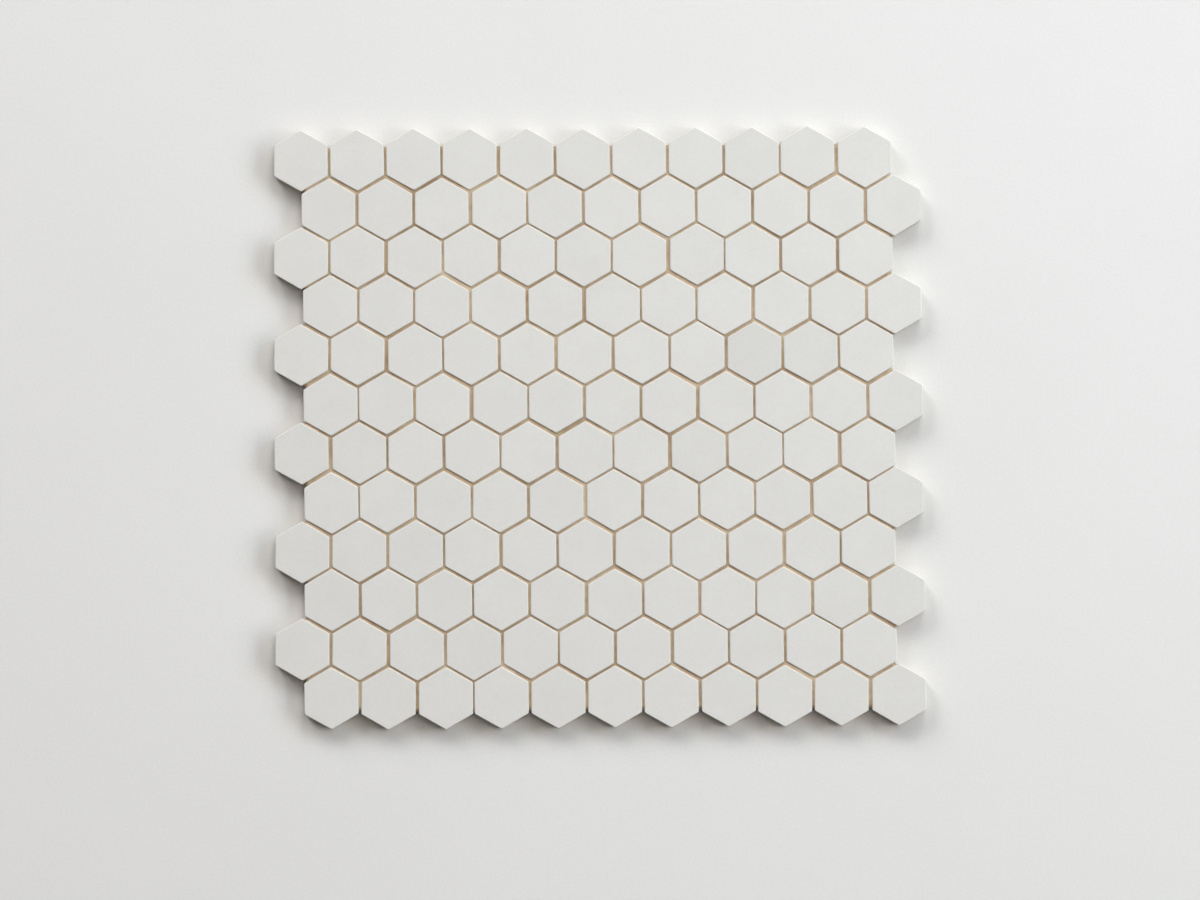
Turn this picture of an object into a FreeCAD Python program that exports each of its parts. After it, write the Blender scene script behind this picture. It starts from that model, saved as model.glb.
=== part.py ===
import FreeCAD, Part
import Sketcher
import math
import os

# A sheet of hexagon floor mosaic, lying face up: rows of porcelain tiles, the glue that beds them,
# and the net behind. X runs along the rows, Y across them and Z up from the underside of the net.
# The origin is under the middle of the sheet, and row 1 is the far one, at +Y.

SUBPARTS_FOLDER = "parts"
SIDES = 6
PITCH = "(Sizes.tile_across_flats + Sizes.joint_gap)"
ROW_STEP = "sqrt(3) / 2"  # rows of hexagons nest, so they lie this share of a pitch apart
WAVE_HEIGHT = 43758.5453  # tall enough that a wave's fraction looks random
COLUMN_PHASE, ROW_PHASE, KIND_PHASE = 12.9898, 78.233, 37.719
ALONG, ACROSS, TURN = range(3)  # the kinds of scatter that each tile has

document = FreeCAD.newDocument("hexagon_floor_tile")
sizes = document.addObject("Spreadsheet::Sheet", "Sizes")

driving_sizes = {
    "tile_across_flats": 25.3,
    "tile_thickness": 6.0,
    "arris_width": 0.35,
    "joint_gap": 1.3,
    "tiles_in_row": 11,
    "row_count": 12,
    "lay_wander": 0.34,  # how far a tile strays from its place
    "lay_turn": 0.7,  # how far it is turned, in degrees
    "lay_bow": 0.25,  # how far the middle of the sheet is drawn out of line
    "glue_thickness": 0.3,  # between a tile and the net
    "glue_rise": 5.2,  # how high it stands in the joints, above the tiles' backs
    "glue_margin": 0.4,  # the rim of the net that stays dry
    "net_thickness": 0.4,
    "net_inset": 0.6,  # from the outer edges of the sheet
}
for line, (alias, value) in enumerate(driving_sizes.items(), start=1):
    sizes.set(f"A{line}", alias)
    sizes.set(f"B{line}", str(value))
    sizes.setAlias(f"B{line}", alias)
document.recompute()

tiles_in_row = int(sizes.get("tiles_in_row"))
row_count = int(sizes.get("row_count"))


def origin_plane(body, role):
    return next(plane for plane in body.Origin.OriginFeatures if plane.Role == role)


def steps_along(column, row):
    """The tile's place along X, in pitches from mid-sheet. Every other row lies half a pitch over."""
    return column + 0.5 * (row % 2) - (tiles_in_row - 0.5) / 2


def steps_across(row):
    """The row's place along Y, in row steps from the middle of the sheet."""
    return (row_count - 1) / 2 - row


def scatter(column, row, kind):
    """A number from -1 to 1 that looks random and is always the same for one tile."""
    phase = COLUMN_PHASE * (column + 1) + ROW_PHASE * (row + 1) + KIND_PHASE * kind
    wave = WAVE_HEIGHT * math.sin(phase)
    return 2 * (wave - math.floor(wave)) - 1


def bow(column, row):
    """The far rows are drawn away and the near ones towards the viewer, most of all in their middle."""
    down_sheet = (row + 0.5) / row_count
    along_row = steps_along(column, row) / tiles_in_row
    return math.sin(2 * math.pi * down_sheet) * math.cos(math.pi * along_row)


def make_tile():
    """One pressed tile: a hexagon with flats to the left and right, its arris taken off round the face."""
    body = document.addObject("PartDesign::Body", "Tile")
    sketch = body.newObject("Sketcher::SketchObject", "TileOutline")
    sketch.AttachmentSupport = (origin_plane(body, "XY_Plane"), [""])
    sketch.MapMode = "FlatFace"
    corner_reach = sizes.get("tile_across_flats") / math.sqrt(3)
    corners = [
        FreeCAD.Vector(corner_reach * math.sin(angle), corner_reach * math.cos(angle), 0)
        for angle in (2 * math.pi * side / SIDES for side in range(SIDES))
    ]
    for side in range(SIDES):
        sketch.addGeometry(Part.LineSegment(corners[side], corners[(side + 1) % SIDES]), False)
    around = sketch.addGeometry(Part.Circle(FreeCAD.Vector(), FreeCAD.Vector(0, 0, 1), corner_reach), True)
    sketch.addConstraint(Sketcher.Constraint("Coincident", around, 3, -1, 1))
    for side in range(SIDES):
        sketch.addConstraint(Sketcher.Constraint("Coincident", side, 2, (side + 1) % SIDES, 1))
        sketch.addConstraint(Sketcher.Constraint("PointOnObject", side, 1, around))
    for side in range(SIDES - 1):
        sketch.addConstraint(Sketcher.Constraint("Equal", side, side + 1))
    sketch.addConstraint(Sketcher.Constraint("PointOnObject", 0, 1, -2))
    radius_rule = sketch.addConstraint(Sketcher.Constraint("Radius", around, corner_reach))
    sketch.setExpression(f"Constraints[{radius_rule}]", "Sizes.tile_across_flats / sqrt(3)")

    pad = body.newObject("PartDesign::Pad", "TilePad")
    pad.Profile = sketch
    pad.setExpression("Length", "Sizes.tile_thickness")
    document.recompute()

    face_edges = [
        f"Edge{number}"
        for number, edge in enumerate(pad.Shape.Edges, start=1)
        if edge.BoundBox.ZMin > sizes.get("tile_thickness") / 2
    ]
    arris = body.newObject("PartDesign::Chamfer", "TileArris")
    arris.Base = (pad, face_edges)
    arris.setExpression("Size", "Sizes.arris_width")
    body.Tip = arris
    document.recompute()
    return body


def lay_row(tile, row):
    """A row of tiles, each a little out of its place as it was set on the net."""
    laid = []
    for column in range(tiles_in_row):
        copy = document.addObject("App::Link", f"Tile_{row + 1:02d}_{column + 1:02d}")
        copy.LinkedObject = tile
        in_line = f"{PITCH} * {steps_along(column, row)}"
        stray_along = f"Sizes.lay_wander * {scatter(column, row, ALONG):.4f}"
        stray_across = f"Sizes.lay_wander * {scatter(column, row, ACROSS):.4f}"
        drawn_across = f"Sizes.lay_bow * {bow(column, row):.4f}"
        place = f"vector({in_line} + {stray_along}; {stray_across} + {drawn_across}; 0)"
        turn = f"rotation(vector(0; 0; 1); Sizes.lay_turn * {scatter(column, row, TURN):.4f})"
        copy.setExpression("LinkPlacement", f"placement({place}; {turn})")
        laid.append(copy)
    tile_row = document.addObject("Part::Compound", f"TileRow{row + 1:02d}")
    tile_row.Label = f"tile_row_{row + 1:02d}"
    tile_row.Links = laid
    tile_row.setExpression("Placement.Base.y", f"{PITCH} * {ROW_STEP} * {steps_across(row)}")
    tile_row.setExpression("Placement.Base.z", "Sizes.net_thickness + Sizes.glue_thickness")
    return tile_row


def make_outline():
    """The zigzag round the outermost tiles, half a joint outside them, through the corners of their cells."""
    pitch = sizes.get("tile_across_flats") + sizes.get("joint_gap")
    cell_reach = pitch / math.sqrt(3)

    def corner(column, row, right, up):
        """A cell's corner, this many half pitches to the right and half reaches up from the cell's middle."""
        x = pitch * (steps_along(column, row) + right / 2)
        y = cell_reach * (1.5 * steps_across(row) + up / 2)
        return FreeCAD.Vector(x, y, 0)

    last_column, last_row = tiles_in_row - 1, row_count - 1
    corners = []
    for column in range(tiles_in_row):
        corners += [corner(column, last_row, -1, -1), corner(column, last_row, 0, -2)]
    for row in range(last_row, -1, -1):
        corners += [corner(last_column, row, 1, -1), corner(last_column, row, 1, 1)]
    for column in range(last_column, -1, -1):
        corners += [corner(column, 0, 0, 2), corner(column, 0, -1, 1)]
    for row in range(row_count):
        if row > 0:
            corners.append(corner(0, row, -1, 1))
        if row < last_row:
            corners.append(corner(0, row, -1, -1))
    outline = document.addObject("Part::Feature", "CellOutline")
    outline.Shape = Part.Face(Part.makePolygon(corners + corners[:1]))
    return outline


def plate(name, outline, inset, thickness):
    """A flat plate of this thickness, its edge this far inside the outline."""
    edge = document.addObject("Part::Offset2D", f"{name}Edge")
    edge.Source = outline
    edge.Join = "Intersection"
    edge.setExpression("Value", f"-({inset})")
    solid = document.addObject("Part::Extrusion", name)
    solid.Base = edge
    solid.DirMode = "Custom"
    solid.Dir = FreeCAD.Vector(0, 0, 1)
    solid.Solid = True
    solid.setExpression("LengthFwd", thickness)
    return solid


def make_net(outline):
    """The net behind the tiles, as the plain sheet that its yarns lie in."""
    net = plate("BackingNet", outline, "Sizes.net_inset + Sizes.joint_gap / 2", "Sizes.net_thickness")
    net.Label = "backing_net"
    return net


def make_glue(outline, tile_rows):
    """The bed of glue on the net, which each tile was pressed into, so that it stands up in the joints."""
    poured = plate(
        "PouredGlue",
        outline,
        "Sizes.net_inset + Sizes.glue_margin + Sizes.joint_gap / 2",
        "Sizes.glue_thickness + Sizes.glue_rise",
    )
    poured.setExpression("Placement.Base.z", "Sizes.net_thickness")
    pressed = document.addObject("Part::Compound", "PressedTiles")
    pressed.Links = tile_rows
    glue = document.addObject("Part::Cut", "GlueBed")
    glue.Label = "glue_bed"
    glue.Base = poured
    glue.Tool = pressed
    return glue


tile = make_tile()
tile_rows = [lay_row(tile, row) for row in range(row_count)]
outline = make_outline()
subparts = [make_net(outline), make_glue(outline, tile_rows), *tile_rows]
document.recompute()

for item in document.Objects:
    if "Invalid" in item.State or "Error" in item.State:
        raise RuntimeError(f"{item.Name} failed: {item.State}")
for subpart in subparts:
    if subpart.Shape.isNull() or not subpart.Shape.isValid():
        raise RuntimeError(f"{subpart.Label} has no valid shape")

os.makedirs(SUBPARTS_FOLDER, exist_ok=True)
for subpart in subparts:
    subpart.Shape.exportStep(f"{SUBPARTS_FOLDER}/{subpart.Label}.step")
    print(subpart.Label, len(subpart.Shape.Solids), "solids", round(subpart.Shape.Volume, 1), "mm3")
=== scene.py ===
import bpy, math
from mathutils import Matrix, Vector, noise


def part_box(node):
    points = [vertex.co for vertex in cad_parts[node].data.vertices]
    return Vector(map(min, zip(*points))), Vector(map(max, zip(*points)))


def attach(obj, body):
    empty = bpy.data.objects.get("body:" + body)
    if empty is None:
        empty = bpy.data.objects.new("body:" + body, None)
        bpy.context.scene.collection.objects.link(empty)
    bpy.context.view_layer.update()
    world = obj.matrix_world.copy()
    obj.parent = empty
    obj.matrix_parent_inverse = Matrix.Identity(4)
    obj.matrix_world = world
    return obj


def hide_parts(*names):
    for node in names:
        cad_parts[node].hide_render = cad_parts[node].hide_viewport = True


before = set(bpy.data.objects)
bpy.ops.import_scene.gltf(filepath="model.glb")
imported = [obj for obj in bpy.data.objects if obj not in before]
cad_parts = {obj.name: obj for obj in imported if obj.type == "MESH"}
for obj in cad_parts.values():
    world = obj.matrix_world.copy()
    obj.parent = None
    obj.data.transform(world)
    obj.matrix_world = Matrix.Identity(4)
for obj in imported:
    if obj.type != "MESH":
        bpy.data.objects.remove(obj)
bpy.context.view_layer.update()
bpy.ops.object.select_all(action="DESELECT")

mm = 0.001

# the sheet, with the same sizes and the same laying as the solids
sheet = {
    "acrossFlats": 25.3 * mm,
    "thickness": 6.0 * mm,
    "joint": 1.3 * mm,
    "inRow": 11,
    "rows": 12,
    "wander": 0.34 * mm,
    "turn": math.radians(0.7),
    "bow": 0.25 * mm,
    "glueRim": 0.9 * mm,  # from the outline of the cells to the edge of the glue
}
sheet["pitch"] = sheet["acrossFlats"] + sheet["joint"]
sheet["corner"] = sheet["acrossFlats"] / math.sqrt(3)
sides = 6


def stepsAlong(column, row):
    return column + 0.5 * (row % 2) - (sheet["inRow"] - 0.5) / 2


def cellPlace(column, row):
    return sheet["pitch"] * stepsAlong(column, row), sheet["pitch"] * math.sqrt(3) / 2 * ((sheet["rows"] - 1) / 2 - row)


def scatter(column, row, kind):
    # from -1 to 1, the same each time for one tile
    wave = 43758.5453 * math.sin(12.9898 * (column + 1) + 78.233 * (row + 1) + 37.719 * kind)
    return 2 * (wave - math.floor(wave)) - 1


def tilePlace(column, row):
    # where a tile lies and how far it is turned
    bow = math.sin(2 * math.pi * (row + 0.5) / sheet["rows"])
    bow *= math.cos(math.pi * stepsAlong(column, row) / sheet["inRow"])
    x, y = cellPlace(column, row)
    x += sheet["wander"] * scatter(column, row, 0)
    y += sheet["wander"] * scatter(column, row, 1) + sheet["bow"] * bow
    return x, y, sheet["turn"] * scatter(column, row, 2)


# materials
def newMaterial(name):
    material = bpy.data.materials.new(name)
    material.use_nodes = True
    return material, material.node_tree.nodes, material.node_tree.links


def grainGroup():
    # broad clouds and fine grains, as two masks
    group = bpy.data.node_groups.new("grain", "ShaderNodeTree")
    face = group.interface
    face.new_socket("Place", in_out="INPUT", socket_type="NodeSocketVector")
    face.new_socket("Slice", in_out="INPUT", socket_type="NodeSocketFloat")
    for name, usual in (("Cloud Scale", 60.0), ("Grain Scale", 2500.0)):
        face.new_socket(name, in_out="INPUT", socket_type="NodeSocketFloat").default_value = usual
    face.new_socket("Cloud", in_out="OUTPUT", socket_type="NodeSocketFloat")
    face.new_socket("Grain", in_out="OUTPUT", socket_type="NodeSocketFloat")
    nodes, links = group.nodes, group.links
    given = nodes.new("NodeGroupInput")
    out = nodes.new("NodeGroupOutput")
    for name, detail in (("Cloud", 3), ("Grain", 2)):
        spots = nodes.new("ShaderNodeTexNoise")
        spots.noise_dimensions = "4D"
        spots.inputs["Detail"].default_value = detail
        links.new(given.outputs["Place"], spots.inputs["Vector"])
        links.new(given.outputs["Slice"], spots.inputs["W"])
        links.new(given.outputs[name + " Scale"], spots.inputs["Scale"])
        links.new(spots.outputs["Fac"], out.inputs[name])
    return group


grain = grainGroup()


def placeGrain(nodes, links, cloudScale, grainScale):
    place = nodes.new("ShaderNodeTexCoord")
    spots = nodes.new("ShaderNodeGroup")
    spots.node_tree = grain
    spots.inputs["Cloud Scale"].default_value = cloudScale
    spots.inputs["Grain Scale"].default_value = grainScale
    links.new(place.outputs["Object"], spots.inputs["Place"])
    return spots, place


def rampOf(nodes, links, source, first, last):
    # first and last are a position and a colour each
    ramp = nodes.new("ShaderNodeValToRGB")
    for spot, (position, colour) in zip(ramp.color_ramp.elements, (first, last)):
        spot.position = position
        spot.color = (*colour, 1)
    links.new(source, ramp.inputs["Fac"])
    return ramp.outputs["Color"]


def rangeOf(nodes, links, source, fromEnds, toEnds):
    span = nodes.new("ShaderNodeMapRange")
    span.inputs["From Min"].default_value, span.inputs["From Max"].default_value = fromEnds
    span.inputs["To Min"].default_value, span.inputs["To Max"].default_value = toEnds
    links.new(source, span.inputs["Value"])
    return span.outputs["Result"]


def mixOf(nodes, links, low, high, mask):
    mix = nodes.new("ShaderNodeMix")
    mix.data_type = "RGBA"
    links.new(low, mix.inputs[6])
    links.new(high, mix.inputs[7])
    links.new(mask, mix.inputs[0])
    return mix.outputs[2]


def stained(nodes, links, colour, mask, stain):
    # the stain is what the low places of the mask let through of the colour
    stains = rampOf(nodes, links, mask, (0.35, stain), (0.6, (1, 1, 1)))
    mix = nodes.new("ShaderNodeMix")
    mix.data_type = "RGBA"
    mix.blend_type = "MULTIPLY"
    mix.inputs[0].default_value = 1
    links.new(colour, mix.inputs[6])
    links.new(stains, mix.inputs[7])
    return mix.outputs[2]


def bumpOf(nodes, links, source, shader, distance, strength):
    bump = nodes.new("ShaderNodeBump")
    bump.inputs["Distance"].default_value = distance
    bump.inputs["Strength"].default_value = strength
    links.new(source, bump.inputs["Height"])
    links.new(bump.outputs["Normal"], shader.inputs["Normal"])
    return bump


porcelain = {
    "pale": (0.747, 0.746, 0.721),
    "shade": (0.723, 0.721, 0.695),
    "speck": (0.975, 0.975, 0.975),  # what the fine specks let through
    "body": (0.66, 0.60, 0.51),
    "bodyShade": (0.56, 0.49, 0.40),
    "toneSpread": 0.012,
    "slices": 4000,  # how far apart the patterns of two tones lie
    "faceFoot": 6.3 * mm,  # where the white of the face ends on the sides, above the floor
    "faceFade": 0.15 * mm,
    "ragged": 0.2 * mm,
}


def makePorcelain():
    material, nodes, links = newMaterial("porcelain")
    shader = nodes["Principled BSDF"]
    tone = nodes.new("ShaderNodeAttribute")
    tone.attribute_name = "tileTone"
    slices = nodes.new("ShaderNodeMath")
    slices.operation = "MULTIPLY"
    slices.inputs[1].default_value = porcelain["slices"]
    links.new(tone.outputs["Fac"], slices.inputs[0])
    uneven, place = placeGrain(nodes, links, 70, 2600)
    links.new(slices.outputs[0], uneven.inputs["Slice"])
    pressed, place = placeGrain(nodes, links, 200, 800)
    links.new(slices.outputs[0], pressed.inputs["Slice"])
    white = rampOf(nodes, links, uneven.outputs["Cloud"], (0.3, porcelain["shade"]), (0.7, porcelain["pale"]))
    white = stained(nodes, links, white, pressed.outputs["Grain"], porcelain["speck"])
    raw = rampOf(nodes, links, uneven.outputs["Grain"], (0.35, porcelain["bodyShade"]), (0.6, porcelain["body"]))
    height = nodes.new("ShaderNodeSeparateXYZ")
    links.new(place.outputs["Object"], height.inputs["Vector"])
    ragged = nodes.new("ShaderNodeMath")
    ragged.operation = "MULTIPLY_ADD"
    ragged.inputs[1].default_value = porcelain["ragged"]
    links.new(uneven.outputs["Cloud"], ragged.inputs[0])
    links.new(height.outputs["Z"], ragged.inputs[2])
    foot = porcelain["faceFoot"] + porcelain["ragged"] / 2
    face = rangeOf(nodes, links, ragged.outputs[0], (foot - porcelain["faceFade"], foot), (0, 1))
    colour = mixOf(nodes, links, raw, white, face)
    tint = nodes.new("ShaderNodeHueSaturation")
    links.new(tone.outputs["Fac"], tint.inputs["Value"])
    links.new(colour, tint.inputs["Color"])
    links.new(tint.outputs["Color"], shader.inputs["Base Color"])
    links.new(rangeOf(nodes, links, face, (0, 1), (0.85, 0.5)), shader.inputs["Roughness"])
    bumpOf(nodes, links, pressed.outputs["Grain"], shader, 0.05 * mm, 0.5)
    return material


glue = {
    "pale": (0.615, 0.497, 0.36),
    "deep": (0.478, 0.36, 0.238),
    "spot": (0.86, 0.83, 0.79),  # what the small stains let through
    "roughness": 0.55,
    "top": 5.9 * mm,  # in the middle of the joints
    "bottom": 0.5 * mm,
    "climb": 0.1 * mm,  # how far it climbs the tiles' sides
    "swell": 0.45 * mm,
    "swellLength": 17 * mm,
    "ripple": 0.12 * mm,
    "rippleLength": 2.2 * mm,
    "bite": 0.15 * mm,  # how far its edges lie inside the tiles
    "endShare": 0.7,  # of its height that it keeps at the open ends of the joints
    "layer": 0.32 * mm,
}


def makeGlueMaterial():
    material, nodes, links = newMaterial("tanGlue")
    shader = nodes["Principled BSDF"]
    shader.inputs["Roughness"].default_value = glue["roughness"]
    broad, place = placeGrain(nodes, links, 42, 260)
    fine, place = placeGrain(nodes, links, 600, 1400)
    colour = rampOf(nodes, links, broad.outputs["Cloud"], (0.36, glue["deep"]), (0.64, glue["pale"]))
    colour = stained(nodes, links, colour, broad.outputs["Grain"], glue["spot"])
    links.new(colour, shader.inputs["Base Color"])
    bumpOf(nodes, links, fine.outputs["Grain"], shader, 0.1 * mm, 0.6)
    return material


net = {
    "mesh": 5.0 * mm,
    "yarn": 320 * mm,
    "wide": 0.9 * mm,
    "thick": 0.19 * mm,
    "wave": 0.1 * mm,
    "cutsPerMesh": 3,
    "stray": 0.25 * mm,
    "waver": 0.12 * mm,
    "shortest": 2.0 * mm,
    "middle": 0.2 * mm,
    "pale": (0.78, 0.76, 0.70),
    "shade": (0.60, 0.56, 0.48),
}


def makeYarnMaterial(name, stretch):
    # filaments run along the yarn, so the noise is stretched along it
    material, nodes, links = newMaterial(name)
    shader = nodes["Principled BSDF"]
    shader.inputs["Roughness"].default_value = 0.45
    place = nodes.new("ShaderNodeTexCoord")
    mapping = nodes.new("ShaderNodeMapping")
    mapping.inputs["Scale"].default_value = stretch
    links.new(place.outputs["Object"], mapping.inputs["Vector"])
    fibres = nodes.new("ShaderNodeTexNoise")
    fibres.inputs["Scale"].default_value = 1
    links.new(mapping.outputs["Vector"], fibres.inputs["Vector"])
    colour = rampOf(nodes, links, fibres.outputs["Fac"], (0.35, net["shade"]), (0.6, net["pale"]))
    links.new(colour, shader.inputs["Base Color"])
    bumpOf(nodes, links, fibres.outputs["Fac"], shader, 0.04 * mm, 0.7)
    return material


porcelainMaterial = makePorcelain()
glueMaterial = makeGlueMaterial()
weftMaterial = makeYarnMaterial("yarnAlong", (180, 9000, 9000))
warpMaterial = makeYarnMaterial("yarnAcross", (9000, 180, 9000))
print("materials made")


# hand tools
def makeActive(piece):
    bpy.ops.object.select_all(action="DESELECT")
    piece.select_set(True)
    bpy.context.view_layer.objects.active = piece


def pick(piece, kind, wanted):
    # selects edges by their two ends, or faces by their middle and normal, in edit mode
    bpy.ops.object.mode_set(mode="OBJECT")
    mesh = piece.data
    for part in (mesh.vertices, mesh.edges, mesh.polygons):
        part.foreach_set("select", [False] * len(part))
    if kind == "EDGE":
        for edge in mesh.edges:
            edge.select = wanted(*(mesh.vertices[n].co for n in edge.vertices))
    else:
        for face in mesh.polygons:
            face.select = wanted(face.center, face.normal)
    bpy.context.tool_settings.mesh_select_mode = (False, kind == "EDGE", kind == "FACE")
    bpy.ops.object.mode_set(mode="EDIT")


def copyOf(model, place):
    piece = model.copy()
    piece.data = model.data.copy()
    piece.data.transform(place)
    bpy.context.scene.collection.objects.link(piece)
    return piece


def joined(pieces, name):
    makeActive(pieces[0])
    for piece in pieces:
        piece.select_set(True)
    bpy.ops.object.join()
    whole = bpy.context.object
    whole.name = whole.data.name = name
    return whole


# one tile
tileShape = {
    "cornerRound": 0.5 * mm,
    "arris": 0.32 * mm,
    "flatEdge": 0.4 * mm,
    "footArris": 0.3 * mm,
    "stepHeight": 1.5 * mm,  # the lower part of the side is set in a little, as pressed
    "stepFall": 0.12 * mm,
    "stepIn": 0.994,
    "keyShare": 0.8,  # of the back that the hollow for the glue takes up
    "keyDepth": 0.35 * mm,
    "keyTaper": 0.97,
    "edgeCuts": 5,
    "wander": 0.04 * mm,
    "wanderLength": 2.6 * mm,
    "sizeSpread": 0.004,
    "tilt": math.radians(0.12),
    "drop": 0.08 * mm,
}
greyTiles = {(8, 0): 0.968, (8, 4): 0.956, (9, 4): 0.972, (7, 6): 0.973}  # column and row of the few darker ones


def modelTile():
    bpy.ops.object.select_all(action="DESELECT")
    half = sheet["thickness"] / 2
    near = 0.01 * mm
    bpy.ops.mesh.primitive_cylinder_add(vertices=sides, radius=sheet["corner"], depth=sheet["thickness"])
    piece = bpy.context.object
    piece.name = "tileModel"
    pick(piece, "EDGE", lambda a, b: abs(a.z - b.z) > half)
    bpy.ops.mesh.bevel(offset=tileShape["cornerRound"], segments=3, affect="EDGES")
    pick(piece, "EDGE", lambda a, b: abs(a.z - b.z) < near and (a - b).length > sheet["corner"] / 2)
    bpy.ops.mesh.subdivide(number_cuts=tileShape["edgeCuts"])
    pick(piece, "EDGE", lambda a, b: min(a.z, b.z) > half - near)
    bpy.ops.mesh.bevel(offset=tileShape["arris"], segments=4, affect="EDGES")
    pick(piece, "EDGE", lambda a, b: max(a.z, b.z) < near - half)
    bpy.ops.mesh.bevel(offset=tileShape["footArris"], segments=2, affect="EDGES")
    pick(piece, "FACE", lambda middle, normal: middle.z > half - near)
    bpy.ops.mesh.inset(thickness=tileShape["flatEdge"])
    pick(piece, "FACE", lambda middle, normal: middle.z < near - half)
    for rise, share in ((0, tileShape["keyShare"]), (tileShape["keyDepth"], tileShape["keyTaper"])):
        bpy.ops.mesh.extrude_region_move(TRANSFORM_OT_translate={"value": (0, 0, rise)})
        bpy.ops.transform.resize(value=(share, share, 1), center_override=(0, 0, 0))
    for height in (tileShape["stepHeight"], tileShape["stepHeight"] - tileShape["stepFall"]):
        bpy.ops.mesh.select_all(action="SELECT")
        bpy.ops.mesh.bisect(plane_co=(0, 0, height - half), plane_no=(0, 0, 1))
    lowest = tileShape["stepHeight"] - tileShape["stepFall"] / 2 - half
    pick(piece, "EDGE", lambda a, b: max(a.z, b.z) < lowest)
    bpy.ops.transform.resize(value=(tileShape["stepIn"], tileShape["stepIn"], 1), center_override=(0, 0, 0))
    bpy.ops.object.mode_set(mode="OBJECT")
    piece.data.materials.append(porcelainMaterial)
    bpy.ops.object.shade_smooth_by_angle(angle=math.radians(35))
    return piece


tileModel = modelTile()
print("tile modelled,", len(tileModel.data.polygons), "faces")


def wearEdges(tile, middle, seed):
    # the flat of the face keeps its shape, and the sides wander a little as pressed clay does
    flat = sheet["acrossFlats"] / 2 - tileShape["arris"] - tileShape["flatEdge"] * 1.5
    for vertex in tile.data.vertices:
        away = vertex.co - middle
        if math.hypot(away.x, away.y) > flat:
            drift = noise.noise_vector(away / tileShape["wanderLength"] + Vector((seed, -seed, 0)))
            vertex.co += Vector((drift.x, drift.y, 0)) * tileShape["wander"]


def layRow(row):
    node = "tile_row_%02d" % (row + 1)
    low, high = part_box(node)
    laid = []
    for column in range(sheet["inRow"]):
        x, y, turn = tilePlace(column, row)
        drop = tileShape["drop"] * (1 + scatter(column, row, 4)) / 2
        middle = Vector((x, y, (low.z + high.z) / 2 - drop))
        tilt = Matrix.Rotation(tileShape["tilt"] * scatter(column, row, 5), 4, "X")
        tilt @= Matrix.Rotation(tileShape["tilt"] * scatter(column, row, 6), 4, "Y")
        size = 1 + tileShape["sizeSpread"] * scatter(column, row, 8)
        place = Matrix.Translation(middle) @ Matrix.Rotation(turn, 4, "Z") @ tilt
        tile = copyOf(tileModel, place @ Matrix.Diagonal((size, size, 1, 1)))
        wearEdges(tile, middle, 17 * column + 5.3 * row)
        tone = 1 + porcelain["toneSpread"] * scatter(column, row, 3)
        tone *= greyTiles.get((column, row), 1)
        shades = tile.data.attributes.new("tileTone", "FLOAT", "POINT")
        shades.data.foreach_set("value", [tone] * len(tile.data.vertices))
        laid.append(tile)
    tiles = joined(laid, "tileRow%02d" % (row + 1))
    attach(tiles, "root")
    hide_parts(node)
    return tiles


rows = [layRow(row) for row in range(sheet["rows"])]
bpy.data.objects.remove(tileModel)
print("rows laid")


# glue in the joints, with one strip for each joint between two tiles
def tileCorner(column, row, number):
    x, y, turn = tilePlace(column, row)
    angle = 2 * math.pi * number / sides - turn
    return Vector((x + sheet["corner"] * math.sin(angle), y + sheet["corner"] * math.cos(angle)))


def cornerKey(column, row, number):
    # the same whole numbers for the cells that share a corner
    x, y = cellPlace(column, row)
    angle = 2 * math.pi * number / sides
    reach = sheet["pitch"] / math.sqrt(3)
    across = (x + reach * math.sin(angle)) / (sheet["pitch"] / 4)
    up = (y + reach * math.cos(angle)) / (reach / 4)
    return round(across), round(up)


def isLaid(column, row):
    return 0 <= column < sheet["inRow"] and 0 <= row < sheet["rows"]


def meetings():
    # where tiles' corners meet, and how many of them do
    found = {}
    for row in range(sheet["rows"]):
        for column in range(sheet["inRow"]):
            for number in range(sides):
                found.setdefault(cornerKey(column, row, number), []).append(tileCorner(column, row, number))
    return {key: (sum(corners, Vector((0, 0))) / len(corners), len(corners)) for key, corners in found.items()}


def jointList():
    # each joint as two tiles, each with the numbers of its two corners there
    found = []
    for row in range(sheet["rows"]):
        over = row % 2
        for column in range(sheet["inRow"]):
            for other, own, others in (
                ((column + 1, row), (1, 2), (5, 4)),
                ((column + over, row + 1), (2, 3), (0, 5)),
                ((column - 1 + over, row + 1), (3, 4), (1, 0)),
            ):
                if isLaid(*other):
                    found.append(((column, row), own, other, others))
    return found


def modelStrip():
    bpy.ops.object.select_all(action="DESELECT")
    bpy.ops.mesh.primitive_grid_add(x_subdivisions=12, y_subdivisions=4, size=2)
    strip = bpy.context.object
    strip.name = "stripModel"
    strip.data.materials.append(glueMaterial)
    return strip


def glueHeight(x, y, across):
    spot = Vector((x, y, 0))
    height = glue["top"] + glue["climb"] * across * across
    height += glue["swell"] * noise.noise(spot / glue["swellLength"])
    return height + glue["ripple"] * noise.noise(spot / glue["rippleLength"])


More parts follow.
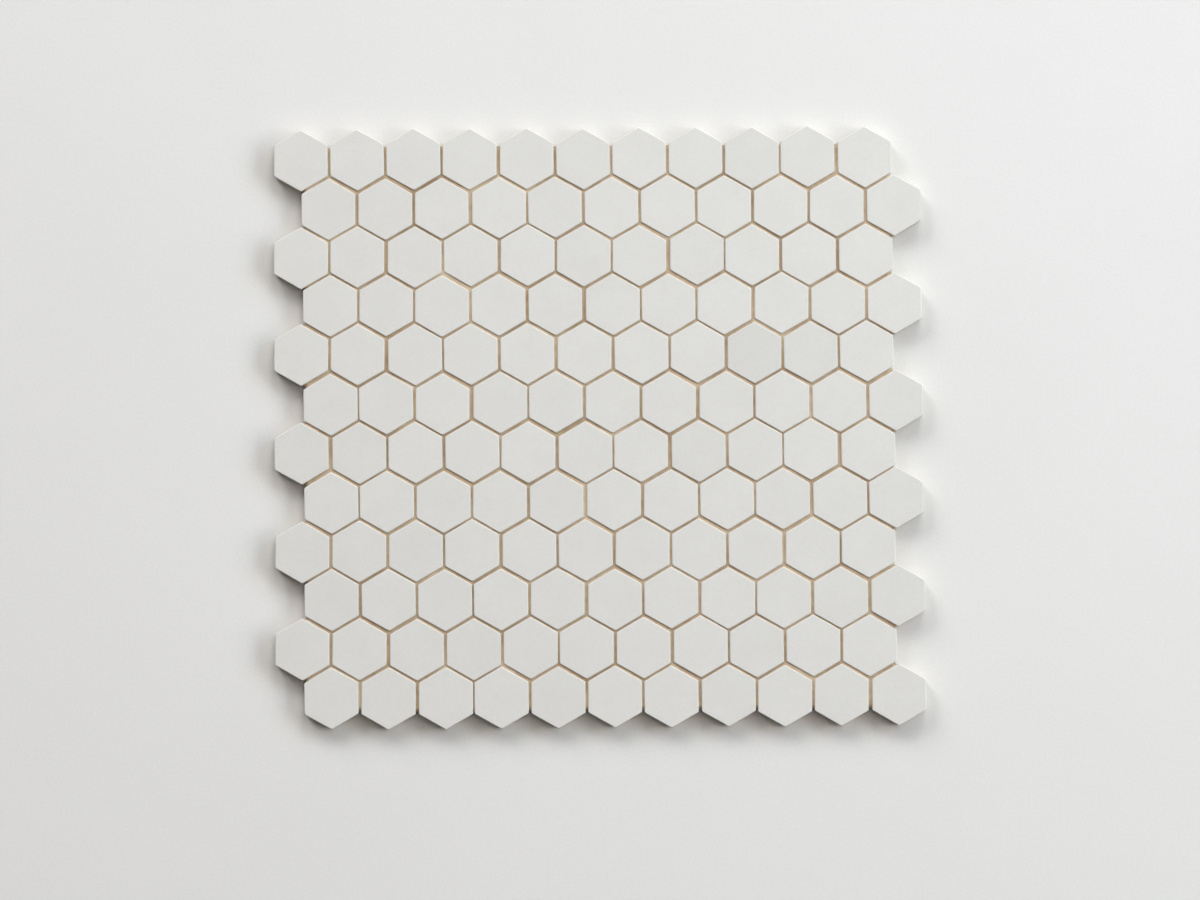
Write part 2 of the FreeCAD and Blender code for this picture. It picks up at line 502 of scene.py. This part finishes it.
def fitStrip(strip, joint, met):
    own, ownNumbers, other, otherNumbers = joint
    ends = [met[cornerKey(*own, number)] for number in ownNumbers]
    sinks = glue["bite"] / sheet["corner"]
    walls = []
    for tile, numbers in ((own, ownNumbers), (other, otherNumbers)):
        middle = Vector(tilePlace(*tile)[:2])
        walls.append([tileCorner(*tile, number).lerp(middle, sinks) for number in numbers])
    length = (ends[1][0] - ends[0][0]).length
    trim = sheet["glueRim"] / math.sin(math.pi / 3) / length
    start = trim if ends[0][1] < 3 else 0
    stop = 1 - trim if ends[1][1] < 3 else 1
    for vertex in strip.data.vertices:
        share = start + (stop - start) * (vertex.co.x + 1) / 2
        across = vertex.co.y
        wall = walls[0] if across < 0 else walls[1]
        middle = ends[0][0].lerp(ends[1][0], share)
        spot = middle.lerp(wall[0].lerp(wall[1], share), abs(across))
        height = glueHeight(spot.x, spot.y, across)
        atOpenEnd = (start > 0 and vertex.co.x < -0.99) or (stop < 1 and vertex.co.x > 0.99)
        if atOpenEnd:
            height = glue["bottom"] + glue["endShare"] * (height - glue["bottom"])
        vertex.co = Vector((spot.x, spot.y, height))


def fillJoints():
    model = modelStrip()
    met = meetings()
    strips = []
    for joint in jointList():
        strip = copyOf(model, Matrix())
        fitStrip(strip, joint, met)
        strips.append(strip)
    bpy.data.objects.remove(model)
    filled = joined(strips, "jointGlue")
    bpy.ops.object.mode_set(mode="EDIT")
    bpy.ops.mesh.select_all(action="SELECT")
    bpy.ops.mesh.remove_doubles(threshold=0.05 * mm)
    bpy.ops.mesh.extrude_region_move(TRANSFORM_OT_translate={"value": (0, 0, -glue["top"])})
    bpy.ops.transform.resize(value=(1, 1, 0), center_override=(0, 0, glue["bottom"]))
    bpy.ops.mesh.select_all(action="SELECT")
    bpy.ops.mesh.normals_make_consistent(inside=False)
    bpy.ops.object.mode_set(mode="OBJECT")
    bpy.ops.object.shade_smooth_by_angle(angle=math.radians(60))
    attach(filled, "root")
    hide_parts("glue_bed")
    print("joints filled,", len(strips), "strips,", len(filled.data.polygons), "faces")


fillJoints()


# the bed of glue behind the tiles, cut out of the solid's own outline
def spreadGlue():
    bed = copyOf(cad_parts["glue_bed"], Matrix())
    bed.name = bed.data.name = "glueLayer"
    bed.hide_render = bed.hide_viewport = False
    makeActive(bed)
    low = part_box("glue_bed")[0].z
    bpy.ops.object.mode_set(mode="EDIT")
    bpy.ops.mesh.select_all(action="SELECT")
    bpy.ops.mesh.remove_doubles(threshold=0.001 * mm)
    pick(bed, "FACE", lambda middle, normal: normal.z > -0.9 or middle.z > low + 0.01 * mm)
    bpy.ops.mesh.delete(type="FACE")
    bpy.ops.mesh.select_all(action="SELECT")
    bpy.ops.mesh.extrude_region_move(TRANSFORM_OT_translate={"value": (0, 0, glue["layer"])})
    bpy.ops.mesh.select_all(action="SELECT")
    bpy.ops.mesh.normals_make_consistent(inside=False)
    bpy.ops.object.mode_set(mode="OBJECT")
    bed.data.materials.clear()
    bed.data.materials.append(glueMaterial)
    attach(bed, "root")
    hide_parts("glue_bed")


spreadGlue()
print("glue spread")


# the woven net
def netEdges():
    # the edges of the solid net's underside, each as its two ends
    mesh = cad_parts["backing_net"].data
    found = []
    for face in mesh.polygons:
        if abs(face.normal.z) < 0.1:
            low = [mesh.vertices[n].co for n in face.vertices if mesh.vertices[n].co.z < 0.1 * mm]
            if len(low) == 2:
                found.append((low[0].xy, low[1].xy))
    return found


def spansOf(edges, along, place):
    # where a yarn at this place lies on the net, as starts and stops
    crossed = []
    for first, last in edges:
        low, high = sorted((first[1 - along], last[1 - along]))
        if low <= place < high:
            share = (place - first[1 - along]) / (last[1 - along] - first[1 - along])
            crossed.append(first[along] + share * (last[along] - first[along]))
    crossed.sort()
    return list(zip(crossed[::2], crossed[1::2]))


def modelYarn(length, material):
    # a flat yarn along X
    bpy.ops.object.select_all(action="DESELECT")
    bpy.ops.mesh.primitive_cylinder_add(vertices=6, radius=0.5, depth=length, rotation=(0, math.pi / 2, 0))
    yarn = bpy.context.object
    bpy.ops.object.transform_apply(location=False, rotation=True, scale=False)
    bpy.ops.object.mode_set(mode="EDIT")
    bpy.ops.mesh.select_all(action="SELECT")
    bpy.ops.transform.resize(value=(1, net["wide"], net["thick"]), center_override=(0, 0, 0))
    pick(yarn, "EDGE", lambda a, b: abs(a.x - b.x) > length / 2)
    bpy.ops.mesh.subdivide(number_cuts=round(length / net["mesh"]) * net["cutsPerMesh"] - 1)
    bpy.ops.object.mode_set(mode="OBJECT")
    yarn.data.materials.append(material)
    bpy.ops.object.shade_smooth_by_angle(angle=math.radians(70))
    return yarn


def layYarns(name, along, count, material):
    model = modelYarn(net["yarn"], material)
    edges = netEdges()
    turn = Matrix.Rotation(along * math.pi / 2, 4, "Z")
    laid = []
    for number in range(count):
        place = (number - (count - 1) / 2) * net["mesh"] + net["stray"] * scatter(number, along, 7)
        side = 1 if (number + along) % 2 else -1
        for start, stop in spansOf(edges, along, place):
            if stop - start < net["shortest"]:
                continue
            yarn = copyOf(model, Matrix())
            for vertex in yarn.data.vertices:  # over and under the others
                step = vertex.co.x / net["mesh"]
                vertex.co.z += net["middle"] + side * net["wave"] * math.cos(math.pi * step)
                vertex.co.y += net["waver"] * noise.noise(Vector((step / 4, number, along)))
            makeActive(yarn)
            bpy.ops.object.mode_set(mode="EDIT")
            for cut, normal in ((start, (-1, 0, 0)), (stop, (1, 0, 0))):
                bpy.ops.mesh.select_all(action="SELECT")
                bpy.ops.mesh.bisect(plane_co=(cut, 0, 0), plane_no=normal, use_fill=True, clear_outer=True)
            bpy.ops.object.mode_set(mode="OBJECT")
            shift = (place, 0, 0) if along else (0, place, 0)
            yarn.data.transform(Matrix.Translation(shift) @ turn)
            laid.append(yarn)
    bpy.data.objects.remove(model)
    yarns = joined(laid, name)
    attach(yarns, "root")
    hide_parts("backing_net")
    print(name, len(laid), "yarns,", len(yarns.data.polygons), "faces")


layYarns("netWeft", 0, 55, weftMaterial)
layYarns("netWarp", 1, 60, warpMaterial)

# floor, light and camera
floorLook = {
    "size": 4.0,
    "pale": (0.813, 0.815, 0.806),
    "shade": (0.801, 0.803, 0.794),
    "speck": (0.975, 0.975, 0.975),
    "roughness": 0.9,
    "gloss": 0.1,
}


def makeFloor():
    bpy.ops.object.select_all(action="DESELECT")
    bpy.ops.mesh.primitive_plane_add(size=floorLook["size"])
    floor = bpy.context.object
    floor.name = "floor"
    material, nodes, links = newMaterial("paleGround")
    shader = nodes["Principled BSDF"]
    shader.inputs["Roughness"].default_value = floorLook["roughness"]
    shader.inputs["Specular IOR Level"].default_value = floorLook["gloss"]
    uneven, place = placeGrain(nodes, links, 9, 750)
    colour = rampOf(nodes, links, uneven.outputs["Cloud"], (0.35, floorLook["shade"]), (0.65, floorLook["pale"]))
    colour = stained(nodes, links, colour, uneven.outputs["Grain"], floorLook["speck"])
    links.new(colour, shader.inputs["Base Color"])
    bumpOf(nodes, links, uneven.outputs["Grain"], shader, 0.12 * mm, 0.3)
    floor.data.materials.append(material)


makeFloor()

studio = {
    "sky": (1.0, 0.95, 0.9),
    "skyStrength": 0.08,
    "wall": (0.80, 0.80, 0.785),  # what the camera sees beyond the floor
    "wallStrength": 0.85,
    "brightness": 0.655,
    "halfSpread": math.radians(14),  # how wide each light looks from the sheet
}
lamps = (  # azimuth and height in degrees, distance, share of the light, colour
    (-3, 28, 4.2, 0.315, (1.06, 1.0, 0.95)),
    (30, 30, 2.5, 0.215, (0.79, 1.0, 1.22)),
    (124, 27, 5.0, 0.37, (1.04, 1.0, 1.01)),
    (77, 34, 3.0, 0.335, (0.98, 1.0, 0.95)),
    (20, 78, 2.2, 0.20, (1.08, 1.0, 0.91)),
)


def makeLights():
    world = bpy.data.worlds.new("studio")
    bpy.context.scene.world = world
    world.use_nodes = True
    nodes, links = world.node_tree.nodes, world.node_tree.links
    seen, sky = nodes.new("ShaderNodeBackground"), nodes["Background"]
    for light, colour, strength in (
        (sky, studio["sky"], studio["skyStrength"]),
        (seen, studio["wall"], studio["wallStrength"]),
    ):
        light.inputs["Color"].default_value = (*colour, 1)
        light.inputs["Strength"].default_value = strength
    rays, both = nodes.new("ShaderNodeLightPath"), nodes.new("ShaderNodeMixShader")
    links.new(rays.outputs["Is Camera Ray"], both.inputs[0])
    links.new(sky.outputs[0], both.inputs[1])
    links.new(seen.outputs[0], both.inputs[2])
    links.new(both.outputs[0], nodes["World Output"].inputs["Surface"])
    for number, (azimuth, height, distance, share, colour) in enumerate(lamps):
        azimuth, height = math.radians(azimuth), math.radians(height)
        panel = bpy.data.lights.new("panel%d" % number, "AREA")
        panel.shape = "DISK"
        panel.size = 2 * distance * math.tan(studio["halfSpread"])
        panel.energy = studio["brightness"] * share * (math.pi * distance) ** 2 / math.sin(height)
        panel.color = colour
        lamp = bpy.data.objects.new(panel.name, panel)
        bpy.context.scene.collection.objects.link(lamp)
        flat = distance * math.cos(height)
        up = distance * math.sin(height)
        lamp.location = (flat * math.cos(azimuth), flat * math.sin(azimuth), up)
        lamp.rotation_euler = (-lamp.location).to_track_quat("-Z", "Y").to_euler()


makeLights()

# the camera looks almost straight down, from a little in front of the sheet
view = {
    "lens": 120,
    "distance": 1.8805,
    "aim": (0.38 * mm, -10.88 * mm, 6.7 * mm),
    "angles": (2.4304, -0.5422, -0.4863),
}


def makeCamera():
    data = bpy.data.cameras.new("camera")
    data.lens = view["lens"]
    data.sensor_width = 36
    camera = bpy.data.objects.new("camera", data)
    bpy.context.scene.collection.objects.link(camera)
    camera.rotation_euler = [math.radians(angle) for angle in view["angles"]]
    back = camera.rotation_euler.to_matrix() @ Vector((0, 0, 1))
    camera.location = Vector(view["aim"]) + back * view["distance"]
    bpy.context.scene.camera = camera


makeCamera()
bpy.context.scene.view_settings.view_transform = "Standard"
print("stage ready")
